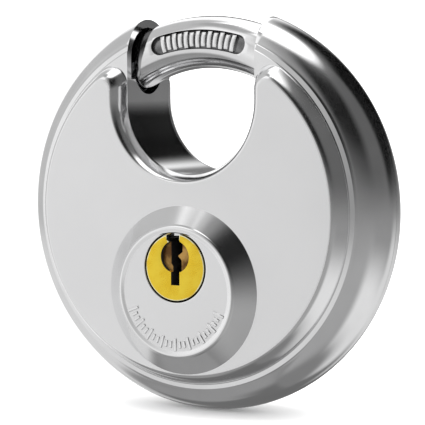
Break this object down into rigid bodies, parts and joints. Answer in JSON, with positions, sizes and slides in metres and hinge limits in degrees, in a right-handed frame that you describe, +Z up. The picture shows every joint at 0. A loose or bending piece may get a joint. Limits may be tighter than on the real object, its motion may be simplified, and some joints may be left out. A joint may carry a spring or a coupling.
{
  "type": "disc padlock",
  "caption": "Disc padlock with two pressed shells, an open throat crossed by a rotating shackle bar, and a keyed cylinder that swings the bar aside.",
  "frame": {"origin": "underside of the closed shackle bar at the top of the throat, half way through the body, where the lock hangs on a hasp", "axes": "+Z up, the disc's axis along Y with the keyhole facing -Y, +X to the right seen from the keyhole side"},
  "size_m": [0.07, 0.0224, 0.0681],
  "materials": {
    "satin_steel": "satin face with polished edges",
    "polished_steel": "polished",
    "hard_steel": "plain machined",
    "cast_zinc": "as cast",
    "plug_brass": "turned",
    "body_brass": "machined",
    "spring_steel": "drawn wire"
  },
  "bodies": {
    "case": {"front_shell": "satin_steel", "rear_shell": "satin_steel", "throat_liner": "polished_steel", "core_block": "cast_zinc", "backing_plate": "hard_steel", "backing_screw_1": "hard_steel", "backing_screw_2": "hard_steel", "backing_screw_3": "hard_steel", "backing_screw_4": "hard_steel", "pivot_post": "hard_steel", "pivot_washer": "body_brass", "lock_cylinder": "body_brass", "cylinder_screw_1": "hard_steel", "cylinder_screw_2": "hard_steel", "pin_cover": "plug_brass", "pin_spring_1": "spring_steel", "pin_spring_2": "spring_steel", "pin_spring_3": "spring_steel", "pin_spring_4": "spring_steel"},
    "shackle_arm": {"shackle": "polished_steel", "drive_plate": "hard_steel", "shackle_rivet_1": "hard_steel", "shackle_rivet_2": "hard_steel"},
    "plug_group": {"plug": "plug_brass", "crank_arm": "hard_steel", "crank_pin": "hard_steel", "crank_screw_1": "hard_steel", "crank_screw_2": "hard_steel"},
    "key_pin_1": {"key_pin_1": "plug_brass"},
    "key_pin_2": {"key_pin_2": "plug_brass"},
    "key_pin_3": {"key_pin_3": "plug_brass"},
    "key_pin_4": {"key_pin_4": "plug_brass"},
    "driver_pin_1": {"driver_pin_1": "hard_steel"},
    "driver_pin_2": {"driver_pin_2": "hard_steel"},
    "driver_pin_3": {"driver_pin_3": "hard_steel"},
    "driver_pin_4": {"driver_pin_4": "hard_steel"}
  },
  "joints": [
    {"name": "shackle_swing", "type": "hinge", "parent": "case", "child": "shackle_arm", "pos_m": [0, 0, -0.0241], "axis": [0, 1, 0], "range_deg": [0, 60]},
    {"name": "plug_turn", "type": "hinge", "parent": "case", "child": "plug_group", "pos_m": [0, 0, -0.03328], "axis": [0, 1, 0], "range_deg": [0, 180]},
    {"name": "key_pin_1_lift", "type": "slide", "parent": "plug_group", "child": "key_pin_1", "axis": [0, 0, 1], "range_m": [0, 0.0018]},
    {"name": "key_pin_2_lift", "type": "slide", "parent": "plug_group", "child": "key_pin_2", "axis": [0, 0, 1], "range_m": [0, 0.0018]},
    {"name": "key_pin_3_lift", "type": "slide", "parent": "plug_group", "child": "key_pin_3", "axis": [0, 0, 1], "range_m": [0, 0.0018]},
    {"name": "key_pin_4_lift", "type": "slide", "parent": "plug_group", "child": "key_pin_4", "axis": [0, 0, 1], "range_m": [0, 0.0018]},
    {"name": "driver_pin_1_press", "type": "slide", "parent": "case", "child": "driver_pin_1", "axis": [0, 0, -1], "range_m": [0, 0.0015], "stiffness_N_per_m": 150, "springref_m": -0.003, "deforming": ["pin_spring_1"]},
    {"name": "driver_pin_2_press", "type": "slide", "parent": "case", "child": "driver_pin_2", "axis": [0, 0, -1], "range_m": [0, 0.0015], "stiffness_N_per_m": 150, "springref_m": -0.003, "deforming": ["pin_spring_2"]},
    {"name": "driver_pin_3_press", "type": "slide", "parent": "case", "child": "driver_pin_3", "axis": [0, 0, -1], "range_m": [0, 0.0015], "stiffness_N_per_m": 150, "springref_m": -0.003, "deforming": ["pin_spring_3"]},
    {"name": "driver_pin_4_press", "type": "slide", "parent": "case", "child": "driver_pin_4", "axis": [0, 0, -1], "range_m": [0, 0.0015], "stiffness_N_per_m": 150, "springref_m": -0.003, "deforming": ["pin_spring_4"]}
  ],
  "couplings": [
    {"joint": "plug_turn", "follows": "shackle_swing", "ratio": 3}
  ]
}
